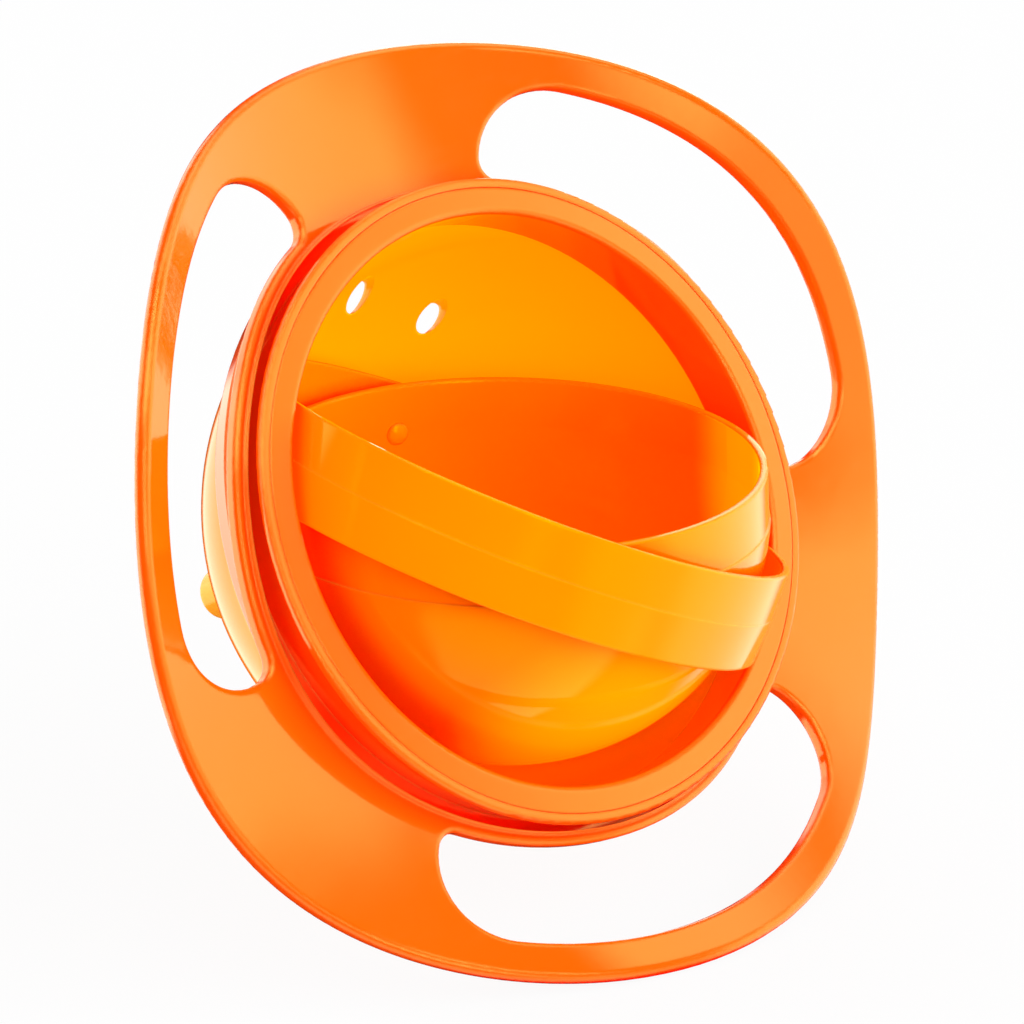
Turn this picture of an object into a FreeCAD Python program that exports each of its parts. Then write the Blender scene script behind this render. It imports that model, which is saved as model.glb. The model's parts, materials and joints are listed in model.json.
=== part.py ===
"""Gyroscopic spill-proof baby bowl: a food bowl hung in a gimbal ring inside a round handled housing.

Three local frames share one origin, the gimbal centre, where both pivot axes cross:
  housing frame  +Z out of the housing's mouth, X along the ring's pivot axis
  ring frame     +Z along the ring's own axis, X along the ring's pivot axis, Y along the bowl's pivot axis
  bowl frame     +Z out of the bowl's mouth, Y along the bowl's pivot axis
Each sub-part is built in its local frame and then turned to the modelled pose: the bowl level,
the ring swung from it about the bowl's pivot axis, and the housing swung from the ring about the
ring's pivot axis. In the row frame +Z is up, the housing's mouth faces -Y and up, and the origin is
the middle of the object's bounding box at its lowest level. All lengths are in millimetres.
"""
import FreeCAD, Part
import math
import os

from FreeCAD import Placement, Rotation, Vector

# The modelled pose, in degrees
ring_from_housing = 58.0
bowl_from_ring = 23.2

# Housing: collar around the mouth, with a groove behind it
mouth_height = 14.6
collar_radius = 76.2
collar_rounding = 0.8
mouth_radius = 67.4
seam_radius = 73.9
seam_gap = 0.1
flange_thickness = 2.5
neck_radius = 72.9
neck_bore_radius = 71.3
groove_radius = 76.9
groove_floor = 0.6

# Housing: skirt outside the groove. Its lip stands a little over the plate's root and falls outward
skirt_lip_radius = 77.3
skirt_lip_height = 5.9
skirt_lip_wave = 4.1
skirt_lip_slope = 2.1
skirt_block_top = 20.0
skirt_top_radius = 79.8
skirt_top_height = 5.0
skirt_end_radius = 77.0
skirt_end_height = -3.4
skirt_bore_radius = 74.8

# Plane where the rear shell meets the front of the housing
parting_height = -0.6

# Handle plate: a round plate whose rim rises at the three handles and dips between them
plate_radius = 112.55
plate_thickness = 4.5
plate_edge_height = 14.3
plate_root_height = 5.3
plate_root_radius = 77.3
plate_wave = 13.2
plate_edge_rounding = 1.7
handle_count = 3
handle_azimuth = 61.2
grip_hole_inner_radius = 80.0
grip_hole_outer_radius = 103.35
grip_hole_half_angle = 40.4
grip_hole_outer_corner = 17.2
grip_hole_inner_corner = 5.0
grip_hole_rounding = 1.2

# Front bezel: ring that closes the mouth and forms its inner wall
bezel_crown = 0.4
bezel_lip_rounding = 1.2
bezel_seam_rounding = 0.3
bezel_sleeve_end_radius = 69.0
bezel_sleeve_outer_radius = 71.15

# Rear shell
shell_radius = 71.7
shell_wall = 1.9
shell_centre_height = 1.5
shell_flange_radius = 74.6
shell_flange_thickness = 2.0
vent_hole_radius = 3.12
vent_holes = ((61.1, 114.4), (58.2, 91.3))

# Feet: round studs plugged into the back of the shell
foot_count = 3
foot_circle_radius = 35.1
foot_azimuth = 201.4
foot_radius = 6.3
foot_face_height = -72.6
foot_edge_rounding = 1.6
foot_plug_radius = 2.6
foot_plug_length = 3.4

# Gimbal ring
ring_mid_radius = 67.0
ring_edge_radius = 66.6
ring_bore_radius = 64.5
ring_half_height = 11.4
ring_parting_step = 0.15
ring_edge_rounding = 0.5

# Bowl
bowl_rim_height = 12.6
bowl_rim_radius = 60.5
bowl_band_radius = 61.2
bowl_body_radius = 61.5
bowl_body_depth = 59.0
bowl_base_depth = 53.3
bowl_wall = 2.0
bowl_floor = 2.2
bowl_rim_rounding = 0.5
bowl_heel_rounding = 2.5
bowl_floor_rounding = 9.0
foot_ring_radius = 23.0
foot_ring_width = 2.0
foot_ring_depth = 0.9

# Ring pivot pins, which run in the housing along the ring's pivot axis
ring_pin_radius = 2.5
ring_pin_end = 72.6
ring_pin_head_radius = 4.0
ring_pin_head_start = 63.1
ring_boss_radius = 5.5
ring_boss_face = 68.1

# Bowl pivot pins, which run in blind sockets in the ring along the bowl's pivot axis
bowl_pin_radius = 1.75
bowl_pin_end = 65.5
bowl_pin_head_radius = 2.8
bowl_pin_head_height = 1.2
bowl_pin_head_lift = 0.2
socket_boss_radius = 4.2
socket_boss_face = 62.1
socket_end = 65.7

# Fits
running_clearance = 0.05
seat_clearance = 0.02
ring_pin_end_play = 0.2

# Cutting bodies and grids reach past the parts by these amounts, and fused bodies sink into each other
overshoot = 1.0
fuse_overlap = 0.5
boss_overlap = 1.0
pin_bore_reach = 5.0
shell_cutter_margin = 10.0
plug_root = 3.0
cutter_low = -40.0
cutter_high = 60.0
plate_grid_steps = 36
plate_grid_margin = 6.0
bounds_tolerance = 0.02

# Edges are picked by place, within these distances
near = 0.1
nearer = 0.01
nearest = 0.001
edge_band = 0.5
flat_edge_rise = 0.7

CENTRE = Vector(0, 0, 0)
UP = Vector(0, 0, 1)


def polyline_face(points):
    """A flat face in the XZ half-plane, from (radius, height) corners."""
    corners = [Vector(radius, 0, height) for radius, height in points]
    return Part.Face(Part.makePolygon(corners + corners[:1]))


def revolve(face):
    return face.revolve(CENTRE, UP, 360)


def disc_cylinder(radius, low, high, x=0.0, y=0.0):
    return Part.makeCylinder(radius, high - low, Vector(x, y, low), UP)


def rod(radius, start, end, direction):
    """A cylinder along a pivot axis, between two distances from the gimbal centre."""
    return Part.makeCylinder(radius, end - start, direction * start, direction)


def polar(radius, azimuth):
    angle = math.radians(azimuth)
    return radius * math.cos(angle), radius * math.sin(angle)


def evenly_spaced(count, first):
    return [first + 360.0 * i / count for i in range(count)]


def largest_solid(shape):
    return max(shape.Solids, key=lambda solid: solid.Volume)


def round_where(solid, radius, wanted):
    """Rounds every edge for which wanted(edge) is true."""
    edges = [edge for edge in solid.Edges if wanted(edge)]
    return solid.makeFillet(radius, edges)


# Housing

def three_fold_wave(x, y, radius):
    """A smooth wave that is 1 over each handle and -1 midway between, at the given radius."""
    azimuth = math.atan2(y, x) - math.radians(handle_azimuth)
    return (math.hypot(x, y) / radius) ** handle_count * math.cos(handle_count * azimuth)


def plate_top_height(x, y):
    """Height of the handle plate's front face over the housing's XY plane."""
    root = plate_root_radius ** 2
    rise = (x * x + y * y - root) / (plate_radius ** 2 - root)
    mean = plate_root_height + (plate_edge_height - plate_root_height) * rise
    return mean + plate_wave * three_fold_wave(x, y, plate_radius)


def skirt_top_surface_height(x, y):
    """Height of the skirt's lip, which follows a smaller wave and falls outward."""
    fall = skirt_lip_slope * (x * x + y * y - skirt_lip_radius ** 2) / (2 * skirt_lip_radius)
    return skirt_lip_height + skirt_lip_wave * three_fold_wave(x, y, skirt_lip_radius) - fall


def slab_from(height_at, depth):
    """A square slab whose one face follows height_at, and which reaches the given depth from it."""
    half = plate_radius + plate_grid_margin
    marks = [-half + 2 * half * i / plate_grid_steps for i in range(plate_grid_steps + 1)]
    grid = [[Vector(x, y, height_at(x, y)) for y in marks] for x in marks]
    surface = Part.BSplineSurface()
    surface.interpolate(grid)
    return surface.toShape().extrude(UP * depth)


def grip_hole(azimuth):
    """Upright cutter for the opening behind one handle, a ring sector with rounded corners."""
    height = cutter_high - cutter_low
    sweep = 2 * grip_hole_half_angle
    outer = Part.makeCylinder(grip_hole_outer_radius, height, Vector(0, 0, cutter_low), UP, sweep)
    core = disc_cylinder(grip_hole_inner_radius, cutter_low - overshoot, cutter_high + overshoot)
    cutter = outer.cut(core)

    def corner_at(radius):
        def matches(edge):
            ends = [vertex.Point for vertex in edge.Vertexes]
            upright = len(ends) == 2 and abs(ends[0].z - ends[1].z) > height / 2
            return upright and abs(math.hypot(ends[0].x, ends[0].y) - radius) < near
        return matches

    cutter = round_where(cutter, grip_hole_outer_corner, corner_at(grip_hole_outer_radius))
    cutter = round_where(cutter, grip_hole_inner_corner, corner_at(grip_hole_inner_radius))
    cutter.rotate(CENTRE, UP, azimuth - grip_hole_half_angle)
    return cutter


def lies_flat(edge):
    """True for an edge that runs along the plate's front or back face."""
    return abs(edge.tangentAt(edge.FirstParameter).z) < flat_edge_rise


def edge_radius(edge):
    middle = edge.valueAt((edge.FirstParameter + edge.LastParameter) / 2)
    return math.hypot(middle.x, middle.y)


def handle_plate():
    core = disc_cylinder(groove_radius, cutter_low - overshoot, cutter_high + overshoot)
    outline = disc_cylinder(plate_radius, cutter_low, cutter_high).cut(core)
    for azimuth in evenly_spaced(handle_count, handle_azimuth):
        outline = outline.cut(grip_hole(azimuth))
    plate = largest_solid(slab_from(plate_top_height, -plate_thickness).common(outline))

    def on_outer_edge(edge):
        return lies_flat(edge) and edge_radius(edge) > plate_radius - edge_band

    def on_hole_edge(edge):
        inside = edge_radius(edge) > grip_hole_inner_radius - edge_band
        return lies_flat(edge) and inside and edge_radius(edge) < grip_hole_outer_radius + edge_band

    plate = round_where(plate, plate_edge_rounding, on_outer_edge)
    return round_where(plate, grip_hole_rounding, on_hole_edge)


def skirt():
    """Wall outside the groove, from the lip down to the parting plane and a little past it."""
    profile = [
        (neck_radius, parting_height),
        (neck_radius, groove_floor),
        (groove_radius, groove_floor),
        (groove_radius, skirt_block_top),
        (skirt_top_radius, skirt_block_top),
        (skirt_top_radius, skirt_top_height),
        (skirt_end_radius, skirt_end_height),
        (skirt_bore_radius, skirt_end_height),
        (skirt_bore_radius, parting_height),
    ]
    block = revolve(polyline_face(profile))
    return largest_solid(block.cut(slab_from(skirt_top_surface_height, skirt_block_top + overshoot)))


def collar():
    """Rim flange round the mouth, and the neck under it."""
    flange_floor = mouth_height - flange_thickness
    profile = [
        (neck_bore_radius, parting_height),
        (neck_bore_radius, flange_floor),
        (seam_radius, flange_floor),
        (seam_radius, mouth_height),
        (collar_radius, mouth_height),
        (collar_radius, flange_floor),
        (neck_radius, flange_floor),
        (neck_radius, parting_height),
    ]
    rim = revolve(polyline_face(profile))

    def outer_rim(edge):
        return edge_radius(edge) > collar_radius - near and len(edge.Vertexes) == 1

    return round_where(rim, collar_rounding, outer_rim)


def ring_pin_bores():
    """The two bores that carry the ring pins, cut through every housing part they cross."""
    bore_radius = ring_pin_radius + running_clearance
    start = mouth_radius - overshoot
    return [rod(bore_radius, start, ring_pin_end + ring_pin_end_play, Vector(side, 0, 0))
            for side in (1, -1)]


def handle_frame():
    frame = collar().fuse([skirt(), handle_plate()]).removeSplitter()
    return largest_solid(frame.cut(ring_pin_bores()))


def front_bezel():
    seam = seam_radius - seam_gap
    crown = mouth_height + bezel_crown
    underside = mouth_height - flange_thickness + seam_gap
    profile = [
        (bezel_sleeve_end_radius, parting_height),
        (mouth_radius, crown),
        (seam, mouth_height),
        (seam, underside),
        (bezel_sleeve_outer_radius, underside),
        (bezel_sleeve_outer_radius, parting_height),
    ]
    bezel = revolve(polyline_face(profile))

    def circle_of(radius, height):
        def matches(edge):
            closed = len(edge.Vertexes) == 1
            level = abs(edge.Vertexes[0].Point.z - height) < nearer
            return closed and level and abs(edge_radius(edge) - radius) < nearer
        return matches

    bezel = round_where(bezel, bezel_lip_rounding, circle_of(mouth_radius, crown))
    bezel = round_where(bezel, bezel_seam_rounding, circle_of(seam, mouth_height))
    return largest_solid(bezel.cut(ring_pin_bores()))


def ball(radius, height):
    return Part.makeSphere(radius, Vector(0, 0, height))


def foot_spots():
    return [polar(foot_circle_radius, azimuth) for azimuth in evenly_spaced(foot_count, foot_azimuth)]


def rear_shell():
    shell = ball(shell_radius, shell_centre_height)
    flange_low = parting_height - shell_flange_thickness - seat_clearance
    flange_high = parting_height - seat_clearance
    shell = shell.fuse(disc_cylinder(shell_flange_radius, flange_low, flange_high))
    shell = shell.cut(ball(shell_radius - shell_wall, shell_centre_height))
    front_half = disc_cylinder(shell_radius + shell_cutter_margin, flange_high, 2 * shell_radius)
    shell = shell.cut(front_half)
    for radius, azimuth in vent_holes:
        shell = shell.cut(disc_cylinder(vent_hole_radius, -2 * shell_radius, 0, *polar(radius, azimuth)))
    for x, y in foot_spots():
        shell = shell.cut(disc_cylinder(foot_plug_radius + seat_clearance, -2 * shell_radius, 0, x, y))
    return largest_solid(shell.cut(ring_pin_bores()).removeSplitter())


def foot_stud(x, y):
    """A round stud whose top is hollowed to sit on the shell, with a plug that fills the shell's hole."""
    stud = disc_cylinder(foot_radius, foot_face_height, -shell_radius / 2, x, y)
    stud = largest_solid(stud.cut(ball(shell_radius + seat_clearance, shell_centre_height)))

    def at_face(edge):
        return all(abs(vertex.Point.z - foot_face_height) < nearest for vertex in edge.Vertexes)

    stud = round_where(stud, foot_edge_rounding, at_face)
    seat = shell_centre_height - math.sqrt(shell_radius ** 2 - x * x - y * y)
    plug = disc_cylinder(foot_plug_radius, seat - plug_root, seat + foot_plug_length, x, y)
    plug = plug.cut(ball(shell_radius - shell_wall, shell_centre_height))
    return stud.fuse(largest_solid(plug)).removeSplitter()


# Gimbal ring

def gimbal_ring():
    step_radius = ring_mid_radius - ring_parting_step
    profile = [
        (ring_bore_radius, -ring_half_height),
        (ring_edge_radius, -ring_half_height),
        (ring_mid_radius, 0),
        (step_radius, 0),
        (ring_edge_radius - ring_parting_step, ring_half_height),
        (ring_bore_radius, ring_half_height),
    ]
    ring = revolve(polyline_face(profile))

    def at_end(edge):
        return all(abs(abs(vertex.Point.z) - ring_half_height) < nearest for vertex in edge.Vertexes)

    ring = round_where(ring, ring_edge_rounding, at_end)
    bore = disc_cylinder(ring_bore_radius, -ring_half_height, ring_half_height)
    for side in (1, -1):
        along = Vector(side, 0, 0)
        ring = ring.fuse(rod(ring_boss_radius, ring_bore_radius, ring_boss_face, along).cut(bore))
        seat = rod(ring_pin_radius + seat_clearance, ring_bore_radius - pin_bore_reach,
                   ring_boss_face + overshoot, along)
        ring = ring.cut(seat)
    for side in (1, -1):
        across = Vector(0, side, 0)
        boss = rod(socket_boss_radius, socket_boss_face, ring_bore_radius + boss_overlap, across)
        socket = rod(bowl_pin_radius + running_clearance, socket_boss_face - overshoot, socket_end, across)
        ring = ring.fuse(boss).cut(socket)
    return largest_solid(ring.removeSplitter())


def ring_pin(side):
    along = Vector(side, 0, 0)
    seat = math.sqrt(ring_bore_radius ** 2 - ring_pin_head_radius ** 2) - seat_clearance
    pin = rod(ring_pin_radius, seat - fuse_overlap, ring_pin_end, along)
    return pin.fuse(rod(ring_pin_head_radius, ring_pin_head_start, seat, along)).removeSplitter()


# Bowl

def side_arc(radius, depth, base_depth):
    """Points of the bowl's side: its widest point, one halfway down, and the edge of its flat base."""
    turn = math.asin(base_depth / depth)
    steps = (0.0, turn / 2, turn)
    return [Vector(radius * math.cos(step), 0, -depth * math.sin(step)) for step in steps]


def bowl():
    outer = side_arc(bowl_body_radius, bowl_body_depth, bowl_base_depth)
    floor_depth = bowl_base_depth - bowl_floor
    inner = side_arc(bowl_band_radius - bowl_wall, bowl_body_depth - bowl_wall, floor_depth)
    rim_outside = Vector(bowl_rim_radius, 0, bowl_rim_height)
    rim_inside = Vector(bowl_rim_radius - bowl_wall, 0, bowl_rim_height)
    recess = -bowl_base_depth + foot_ring_depth
    recess_radius = foot_ring_radius - foot_ring_width
    corners = [outer[2], Vector(recess_radius, 0, -bowl_base_depth), Vector(recess_radius, 0, recess),
               Vector(0, 0, recess), Vector(0, 0, -floor_depth), inner[2]]
    edges = [Part.makeLine(rim_outside, Vector(bowl_band_radius, 0, 0)),
             Part.makeLine(Vector(bowl_band_radius, 0, 0), outer[0]),
             Part.Arc(*outer).toShape()]
    edges += [Part.makeLine(start, end) for start, end in zip(corners, corners[1:])]
    edges += [Part.Arc(*reversed(inner)).toShape(),
              Part.makeLine(inner[0], rim_inside),
              Part.makeLine(rim_inside, rim_outside)]
    dish = revolve(Part.Face(Part.Wire(edges)))

    def circle_at(radius, height):
        def matches(edge):
            start = edge.Vertexes[0].Point
            level = all(abs(vertex.Point.z - height) < nearest for vertex in edge.Vertexes)
            return level and abs(math.hypot(start.x, start.y) - radius) < nearest
        return matches

    dish = round_where(dish, bowl_rim_rounding, circle_at(rim_outside.x, bowl_rim_height))
    dish = round_where(dish, bowl_rim_rounding, circle_at(rim_inside.x, bowl_rim_height))
    dish = round_where(dish, bowl_heel_rounding, circle_at(outer[2].x, -bowl_base_depth))
    dish = round_where(dish, bowl_floor_rounding, circle_at(inner[2].x, -floor_depth))
    for side in (1, -1):
        across = Vector(0, side, 0)
        bore = rod(bowl_pin_radius + seat_clearance, bowl_body_radius - pin_bore_reach,
                   bowl_body_radius + overshoot, across)
        dish = dish.cut(bore)
    return largest_solid(dish)


def bowl_pin(side):
    """A pin with a domed head that shows inside the bowl."""
    across = Vector(0, side, 0)
    seat = bowl_band_radius - bowl_wall - bowl_pin_head_lift
    cap_radius = (bowl_pin_head_radius ** 2 + bowl_pin_head_height ** 2) / (2 * bowl_pin_head_height)
    cap_centre = across * (seat - bowl_pin_head_height + cap_radius)
    head = Part.makeSphere(cap_radius, cap_centre).common(
        rod(bowl_pin_head_radius, seat - 2 * bowl_pin_head_height, seat, across))
    shank = rod(bowl_pin_radius, seat - fuse_overlap, bowl_pin_end, across)
    return head.fuse(shank).removeSplitter()


# Placing and export

def pose_turns():
    """Rotations of the housing, the ring and the bowl in the row frame."""
    tilt = math.radians(ring_from_housing)
    swing = math.radians(bowl_from_ring)
    facing = -math.degrees(math.atan2(math.sin(swing) * math.cos(tilt), math.sin(tilt)))
    bowl_turn = Rotation(UP, facing)
    ring_turn = bowl_turn * Rotation(Vector(0, 1, 0), bowl_from_ring)
    housing_turn = ring_turn * Rotation(Vector(1, 0, 0), ring_from_housing)
    return housing_turn, ring_turn, bowl_turn


def build():
    housing_turn, ring_turn, bowl_turn = pose_turns()
    local = {
        "handle_frame": (handle_frame(), housing_turn),
        "front_bezel": (front_bezel(), housing_turn),
        "rear_shell": (rear_shell(), housing_turn),
        "gimbal_ring": (gimbal_ring(), ring_turn),
        "ring_pin_right": (ring_pin(1), ring_turn),
        "ring_pin_left": (ring_pin(-1), ring_turn),
        "bowl": (bowl(), bowl_turn),
        "bowl_pin_rear": (bowl_pin(1), bowl_turn),
        "bowl_pin_front": (bowl_pin(-1), bowl_turn),
    }
    for number, (x, y) in enumerate(foot_spots(), start=1):
        local["foot_stud_%d" % number] = (foot_stud(x, y), housing_turn)
    placed = {name: shape.transformed(Placement(CENTRE, turn).toMatrix(), True)
              for name, (shape, turn) in local.items()}
    points = [point for shape in placed.values() for point in shape.tessellate(bounds_tolerance)[0]]
    low = [min(point[axis] for point in points) for axis in range(3)]
    high = [max(point[axis] for point in points) for axis in range(3)]
    shift = Vector(-(low[0] + high[0]) / 2, -(low[1] + high[1]) / 2, -low[2])
    for shape in placed.values():
        shape.translate(shift)
    return placed, shift


def main():
    os.makedirs("parts", exist_ok=True)
    placed, shift = build()
    for name, shape in placed.items():
        shape.exportStep("parts/%s.step" % name)
        box = shape.BoundBox
        print("%-16s solids %d valid %s volume %.0f box %.1f %.1f %.1f" % (
            name, len(shape.Solids), shape.isValid(), shape.Volume, box.XLength, box.YLength, box.ZLength))
    print("gimbal centre in the row frame: %.3f %.3f %.3f" % (shift.x, shift.y, shift.z))


main()
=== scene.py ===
"""Looks for the gyroscopic baby bowl: glossy moulded plastics, a pale floor and soft studio light.

Every length is in metres, but for the camera's lens and sensor in millimetres, and every place comes
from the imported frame. Directions are given as an azimuth, where 0 is -Y (the front) and 90 is +X, and
an elevation above the horizon, in degrees.
"""

import json
import math

import bpy
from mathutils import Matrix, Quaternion, Vector

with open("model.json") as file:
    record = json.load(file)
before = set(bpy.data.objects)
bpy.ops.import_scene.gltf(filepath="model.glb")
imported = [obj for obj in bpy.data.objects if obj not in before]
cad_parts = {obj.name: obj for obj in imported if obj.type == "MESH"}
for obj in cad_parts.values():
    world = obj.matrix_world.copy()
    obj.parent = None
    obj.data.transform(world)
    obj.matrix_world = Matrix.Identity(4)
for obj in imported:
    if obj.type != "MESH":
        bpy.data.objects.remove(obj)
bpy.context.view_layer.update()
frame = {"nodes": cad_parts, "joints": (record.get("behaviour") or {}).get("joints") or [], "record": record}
gimbal_centre = Vector(frame["joints"][0]["pos_m"])

# Camera, aimed at a point given from the gimbal centre
camera_azimuth = -41.036
camera_elevation = 20.364
camera_roll = 0.765
camera_distance = 0.93157
camera_aim = Vector((0.00087, -0.00097, -0.00043))
camera_lens = 140.625
camera_sensor = 36.0
camera_reach = 100.0

# Light. A soft box is (azimuth, elevation, half width, half height, softness, brightness), in degrees
# but for the brightness. Matt shading is lit by the even light and the key lights. The gloss reflects
# the soft boxes, on a dark ground.
even_light = 0.95
key_lights = (
    (34.0, -2.0, 48.0, 48.0, 20.0, 5.6),
    (-170.0, 20.0, 50.0, 40.0, 20.0, 1.6),
)
dark_level = 0.02
soft_boxes = (
    (72.0, -2.0, 38.0, 38.0, 9.0, 1.9),
    (12.0, -12.0, 24.0, 20.0, 8.0, 1.1),
    (-22.0, 21.0, 11.0, 16.0, 7.0, 4.2),
    (-30.0, -58.0, 48.0, 32.0, 6.0, 1.2),
    (-165.0, -5.0, 38.0, 33.0, 3.0, 1.7),
    (-150.0, -5.0, 20.0, 33.0, 3.0, 0.9),
    (100.0, 62.0, 40.0, 14.0, 8.0, 2.0),
    (130.0, 12.0, 14.0, 20.0, 3.0, 2.8),
    (-35.0, 62.0, 48.0, 22.0, 6.0, 3.5),
    (0.0, 90.0, 180.0, 12.0, 6.0, 3.0),
)
soft_box_colour = (1.0, 0.98, 0.84)
white = (1.0, 1.0, 1.0)
half_turn = 180.0

# Backdrop, as the camera sees it. The floor is mostly plain white too, with a faint shadow
backdrop_level = 1.0
floor_half_size = 6.0
floor_grey = (0.45, 0.45, 0.45)
floor_plain_share = 0.93

# Flow marks: slow changes from the main colour towards the deep one. This noise and those below are
# (scale, detail, roughness)
flow_noise = (22.0, 3.0, 0.5)
flow_low, flow_high = 0.3, 0.7
flow_strength = 0.35

# Nooks, painted shade: how far a surface looks for its neighbours, and how open it is where the painted
# crevice shade is full and where it ends
nook_reach = 0.012
nook_samples = 4
nook_full, nook_end = 0.2, 0.85

# Edges: rounded in the shading, and lightened by a painted highlight by how far that turns the surface's
# direction. The painted highlight is full at the first cosine and ends at the second
edge_radius = 0.0009
edge_samples = 4
edge_highlight_full, edge_highlight_end = 0.80, 0.97
edge_highlight_strength = 0.5
edge_highlight_green_gain = 2.2
edge_highlight_blue_rise = 0.02

# Hairline scuffs, which roughen the gloss: a noise squeezed along two axes, and turned (in radians)
scuff_noise = (140.0, 6.0, 0.65)
scuff_squeeze = (1.0, 12.0, 3.0)
scuff_turn = (0.4, 0.7, 0.2)
scuff_low, scuff_high = 0.45, 0.75
scuff_roughness = 0.06

# Moulded skin: a fine orange peel
skin_noise = (420.0, 2.0, 0.4)
skin_strength = 0.02
skin_depth = 0.0004


def toward(azimuth, elevation):
    """Unit vector in a direction given in degrees."""
    turn, lift = math.radians(azimuth), math.radians(elevation)
    return Vector((math.sin(turn) * math.cos(lift), -math.cos(turn) * math.cos(lift), math.sin(lift)))


# Node helpers

def new_tree(owner):
    owner.use_nodes = True
    owner.node_tree.nodes.clear()
    return owner.node_tree


def add(tree, kind, **settings):
    """A new node. A setting is an input's value if the node has such an input, or else a property."""
    node = tree.nodes.new(kind)
    for key, value in settings.items():
        if key in node.inputs:
            node.inputs[key].default_value = value
        else:
            setattr(node, key, value)
    return node


def wire(tree, source, target):
    tree.links.new(source, target)


def feed(tree, values, sockets):
    """Give each socket its value: another node's output, or a number or vector."""
    for value, socket in zip(values, sockets):
        if isinstance(value, bpy.types.NodeSocket):
            wire(tree, value, socket)
        else:
            socket.default_value = value


def math_node(tree, operation, *values):
    node = add(tree, "ShaderNodeMath", operation=operation)
    feed(tree, values, node.inputs)
    return node.outputs[0]


def dot_product(tree, first, second):
    node = add(tree, "ShaderNodeVectorMath", operation="DOT_PRODUCT")
    feed(tree, (first, second), node.inputs)
    return node.outputs["Value"]


def mix(tree, kind, factor, first, second):
    """First where the factor is 0, second where it is 1. The kind is RGBA or FLOAT."""
    node = add(tree, "ShaderNodeMix", data_type=kind)
    feed(tree, (factor, first, second), [node.inputs[name] for name in ("Factor", "A", "B")])
    return node.outputs["Result"]


def smooth_range(tree, value, from_low, from_high, to_low, to_high):
    node = add(tree, "ShaderNodeMapRange", interpolation_type="SMOOTHSTEP")
    names = ("Value", "From Min", "From Max", "To Min", "To Max")
    values = (value, from_low, from_high, to_low, to_high)
    feed(tree, values, [node.inputs[name] for name in names])
    return node.outputs["Result"]


def solid(colour):
    """A colour with full opacity, as colour sockets want it."""
    return (*colour, 1.0)


# Materials

def noise(tree, vector, settings):
    scale, detail, roughness = settings
    node = add(tree, "ShaderNodeTexNoise", Scale=scale, Detail=detail, Roughness=roughness)
    wire(tree, vector, node.inputs["Vector"])
    return node.outputs["Fac"]


def plastic_colour(tree, place, rounded, normal, colour, deep, painted_crevice_shade):
    """Flow marks, then painted shade in the nooks, then a painted highlight on the edges."""
    flow = noise(tree, place, flow_noise)
    blotch = smooth_range(tree, flow, flow_low, flow_high, 0.0, flow_strength)
    body = mix(tree, "RGBA", blotch, solid(colour), solid(deep))

    # Painted shade: the colour turns to the crevice shade where the surface is closed in.
    nook = add(tree, "ShaderNodeAmbientOcclusion", Distance=nook_reach, samples=nook_samples)
    painted_shade_amount = smooth_range(tree, nook.outputs["AO"], nook_full, nook_end, 1.0, 0.0)
    shaded = mix(tree, "RGBA", painted_shade_amount, body, solid(painted_crevice_shade))

    # Painted highlight: edges that the rounding turns are lightened, in green and blue.
    kept = dot_product(tree, rounded, normal)
    edge = smooth_range(tree, kept, edge_highlight_full, edge_highlight_end, edge_highlight_strength, 0.0)
    red, green, blue = colour
    edge_highlight_colour = (red, min(1.0, green * edge_highlight_green_gain), blue + edge_highlight_blue_rise)
    return mix(tree, "RGBA", edge, shaded, solid(edge_highlight_colour))


def scuffed_roughness(tree, place, roughness):
    squeezed = add(tree, "ShaderNodeMapping", Scale=scuff_squeeze, Rotation=scuff_turn)
    wire(tree, place, squeezed.inputs["Vector"])
    scuffs = noise(tree, squeezed.outputs["Vector"], scuff_noise)
    return smooth_range(tree, scuffs, scuff_low, scuff_high, roughness, roughness + scuff_roughness)


def skin_normal(tree, place, rounded):
    bump = add(tree, "ShaderNodeBump", Strength=skin_strength, Distance=skin_depth)
    wire(tree, noise(tree, place, skin_noise), bump.inputs["Height"])
    wire(tree, rounded, bump.inputs["Normal"])
    return bump.outputs["Normal"]


def painted_glow_strength(tree, normal, painted_glow_lights):
    """How much painted glow, standing in for light through the wall, each light behind it gives, by the
    wall's direction.
    """
    strength = 0.0
    for azimuth, elevation, start, level in painted_glow_lights:
        behind = dot_product(tree, normal, -toward(azimuth, elevation))
        through = smooth_range(tree, behind, start, 1.0, 0.0, level)
        strength = math_node(tree, "ADD", through, strength)
    return strength


def plastic(name, colour, deep, painted_crevice_shade, roughness, gloss, painted_glow_colour, painted_glow_lights):
    """Glossy moulded plastic, with a painted glow (emission) for light that falls on the other side of its
    thin wall.

    Gloss is (index of refraction, reflection level, reflection tint). A glow light is (azimuth,
    elevation, the cosine between wall and light where the glow starts, the glow's full strength).
    """
    material = bpy.data.materials.new(name)
    tree = new_tree(material)
    place = add(tree, "ShaderNodeTexCoord").outputs["Object"]
    normal = add(tree, "ShaderNodeNewGeometry").outputs["Normal"]
    rounded = add(tree, "ShaderNodeBevel", Radius=edge_radius, samples=edge_samples).outputs["Normal"]
    ior, level, tint = gloss
    inputs = {
        "Base Color": plastic_colour(tree, place, rounded, normal, colour, deep, painted_crevice_shade),
        "Roughness": scuffed_roughness(tree, place, roughness),
        "Normal": skin_normal(tree, place, rounded),
        # Painted glow: emission that stands in for light coming through the wall.
        "Emission Color": solid(painted_glow_colour),
        "Emission Strength": painted_glow_strength(tree, normal, painted_glow_lights),
        "IOR": ior,
        "Specular IOR Level": level,
        "Specular Tint": solid(tint),
    }
    shader = add(tree, "ShaderNodeBsdfPrincipled")
    feed(tree, inputs.values(), [shader.inputs[key] for key in inputs])
    output = add(tree, "ShaderNodeOutputMaterial")
    wire(tree, shader.outputs["BSDF"], output.inputs["Surface"])
    return material


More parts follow.
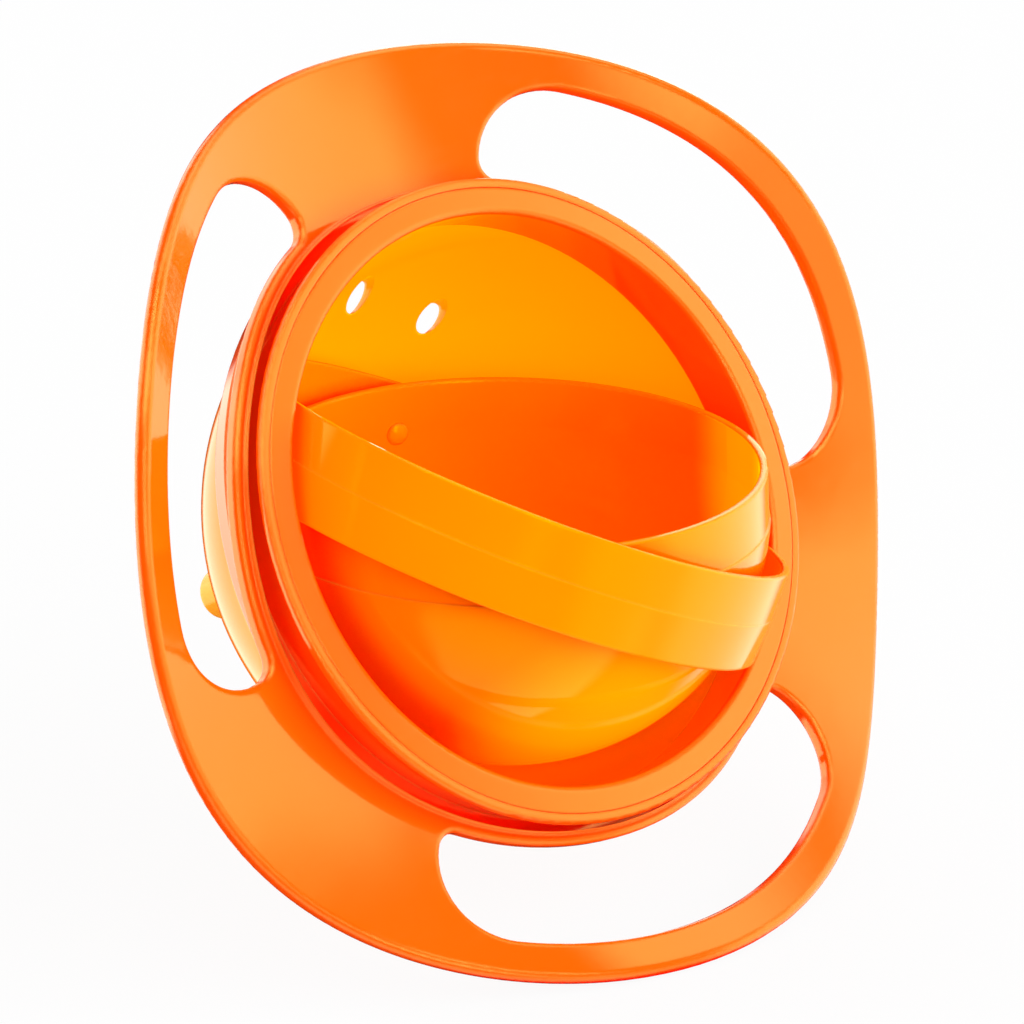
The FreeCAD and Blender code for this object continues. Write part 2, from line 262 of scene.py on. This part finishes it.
def finishes():
    """One finish for each CAD node. The pins and feet take theirs by the record's material slots."""
    warm = (1.0, 0.85, 0.22)
    golden = (1.0, 0.85, 0.0)
    # Each glow below is painted light, an emission for light coming through the wall.
    painted_side_glow = (90.0, 30.0, 0.0, 0.2)
    # Each crevice colour below is painted shade for the nooks.
    orange = plastic(
        "orange_plastic", colour=(1.0, 0.080, 0.001), deep=(1.0, 0.068, 0.0), painted_crevice_shade=(0.98, 0.004, 0.0),
        roughness=0.05, gloss=(1.6, 1.0, warm),
        painted_glow_colour=(1.0, 0.1, 0.0), painted_glow_lights=[(60.0, 20.0, -0.2, 0.1)])
    shell = plastic(
        "amber_shell_plastic", colour=(1.0, 0.17, 0.0), deep=(1.0, 0.14, 0.0), painted_crevice_shade=(0.95, 0.06, 0.0),
        roughness=0.05, gloss=(1.5, 0.4, golden),
        painted_glow_colour=(1.0, 0.26, 0.0), painted_glow_lights=[(158.0, 35.0, -1.0, 0.88)])
    ring = plastic(
        "amber_ring_plastic", colour=(1.0, 0.18, 0.0), deep=(1.0, 0.155, 0.0), painted_crevice_shade=(0.9, 0.03, 0.0),
        roughness=0.05, gloss=(1.5, 0.65, golden),
        painted_glow_colour=(1.0, 0.25, 0.0), painted_glow_lights=[(90.0, 30.0, 0.0, 0.3)])
    bowl = plastic(
        "bowl_plastic", colour=(1.0, 0.165, 0.0), deep=(1.0, 0.14, 0.0), painted_crevice_shade=(0.9, 0.03, 0.0),
        roughness=0.04, gloss=(1.5, 0.8, golden),
        painted_glow_colour=(1.0, 0.26, 0.0), painted_glow_lights=[(62.0, 0.0, 0.88, 0.9), (170.0, 40.0, 0.79, 0.75)])
    pin = plastic(
        "pin_plastic", colour=(1.0, 0.19, 0.0), deep=(1.0, 0.16, 0.0), painted_crevice_shade=(0.9, 0.04, 0.0),
        roughness=0.08, gloss=(1.5, 1.0, golden),
        painted_glow_colour=(1.0, 0.3, 0.0), painted_glow_lights=[painted_side_glow])
    foot = plastic(
        "foot_plastic", colour=(1.0, 0.42, 0.03), deep=(1.0, 0.36, 0.02), painted_crevice_shade=(0.9, 0.1, 0.0),
        roughness=0.15, gloss=(1.5, 0.5, warm),
        painted_glow_colour=(1.0, 0.4, 0.0), painted_glow_lights=[painted_side_glow])
    nodes = {"handle_frame": orange, "front_bezel": orange, "rear_shell": shell,
             "gimbal_ring": ring, "bowl": bowl}
    for part in frame["record"]["subparts"]:
        nodes.setdefault(part["node"], foot if part["material_slot"] == "foot_plastic" else pin)
    return nodes


def dress_cad_nodes(materials):
    for name, material in materials.items():
        slots = frame["nodes"][name].data.materials
        slots.clear()
        slots.append(material)


# Stage

def floor():
    size = floor_half_size
    mesh = bpy.data.meshes.new("floor")
    corners = [(-size, -size, 0), (size, -size, 0), (size, size, 0), (-size, size, 0)]
    mesh.from_pydata(corners, [], [(0, 1, 2, 3)])
    plane = bpy.data.objects.new("floor", mesh)
    bpy.context.scene.collection.objects.link(plane)
    plane.visible_glossy = False
    mesh.materials.append(floor_material())


def floor_material():
    """Matt grey for the light that bounces, and mostly plain white for the camera."""
    material = bpy.data.materials.new("pale_floor")
    tree = new_tree(material)
    camera_ray = add(tree, "ShaderNodeLightPath").outputs["Is Camera Ray"]
    share = math_node(tree, "MULTIPLY", camera_ray, floor_plain_share)
    matt = add(tree, "ShaderNodeBsdfDiffuse", Color=solid(floor_grey)).outputs["BSDF"]
    plain = add(tree, "ShaderNodeEmission", Strength=backdrop_level).outputs["Emission"]
    blend = add(tree, "ShaderNodeMixShader")
    feed(tree, (share, matt, plain), blend.inputs)
    output = add(tree, "ShaderNodeOutputMaterial")
    wire(tree, blend.outputs["Shader"], output.inputs["Surface"])
    return material


def soft_box(tree, azimuth, elevation, box):
    """Brightness of one box in a direction: a rectangle in azimuth and elevation with soft sides."""
    centre_azimuth, centre_elevation, half_width, half_height, softness, brightness = box
    offset = math_node(tree, "SUBTRACT", azimuth, centre_azimuth)
    turned = math_node(tree, "WRAP", offset, half_turn, -half_turn)
    across = math_node(tree, "ABSOLUTE", turned)
    upward = math_node(tree, "ABSOLUTE", math_node(tree, "SUBTRACT", elevation, centre_elevation))
    wide = smooth_range(tree, across, half_width - softness, half_width + softness, 1.0, 0.0)
    tall = smooth_range(tree, upward, half_height - softness, half_height + softness, 1.0, 0.0)
    return math_node(tree, "MULTIPLY", math_node(tree, "MULTIPLY", wide, tall), brightness)


def light_level(tree, azimuth, elevation, boxes, ground):
    """Brightness of a set of boxes and the ground level between them, in a direction."""
    level = ground
    for box in boxes:
        level = math_node(tree, "ADD", soft_box(tree, azimuth, elevation, box), level)
    return level


def studio_world():
    """Soft light for matt shading, soft boxes for what the gloss reflects, and white for the camera."""
    world = bpy.data.worlds.new("studio")
    bpy.context.scene.world = world
    tree = new_tree(world)
    direction = add(tree, "ShaderNodeSeparateXYZ")
    wire(tree, add(tree, "ShaderNodeTexCoord").outputs["Generated"], direction.inputs["Vector"])
    x, y, z = direction.outputs
    forward = math_node(tree, "MULTIPLY", y, -1.0)
    azimuth = math_node(tree, "DEGREES", math_node(tree, "ARCTAN2", x, forward))
    elevation = math_node(tree, "DEGREES", math_node(tree, "ARCSINE", z))

    ray = add(tree, "ShaderNodeLightPath")
    matt_light = light_level(tree, azimuth, elevation, key_lights, even_light)
    gloss_light = light_level(tree, azimuth, elevation, soft_boxes, dark_level)
    level = mix(tree, "FLOAT", ray.outputs["Is Glossy Ray"], matt_light, gloss_light)
    background = add(tree, "ShaderNodeBackground")
    strength = mix(tree, "FLOAT", ray.outputs["Is Camera Ray"], level, backdrop_level)
    colour = mix(tree, "RGBA", ray.outputs["Is Glossy Ray"], solid(white), solid(soft_box_colour))
    wire(tree, colour, background.inputs["Color"])
    wire(tree, strength, background.inputs["Strength"])
    output = add(tree, "ShaderNodeOutputWorld")
    wire(tree, background.outputs["Background"], output.inputs["Surface"])


def camera():
    data = bpy.data.cameras.new("camera")
    data.lens = camera_lens
    data.sensor_width = camera_sensor
    data.clip_end = camera_reach
    view = bpy.data.objects.new("camera", data)
    bpy.context.scene.collection.objects.link(view)
    back = toward(camera_azimuth, camera_elevation)
    level = (-back).to_track_quat("-Z", "Y")
    view.rotation_mode = "QUATERNION"
    view.rotation_quaternion = Quaternion(back, math.radians(camera_roll)) @ level
    view.location = gimbal_centre + camera_aim + back * camera_distance
    bpy.context.scene.camera = view


dress_cad_nodes(finishes())
floor()
studio_world()
camera()
bpy.context.scene.view_settings.view_transform = "Standard"
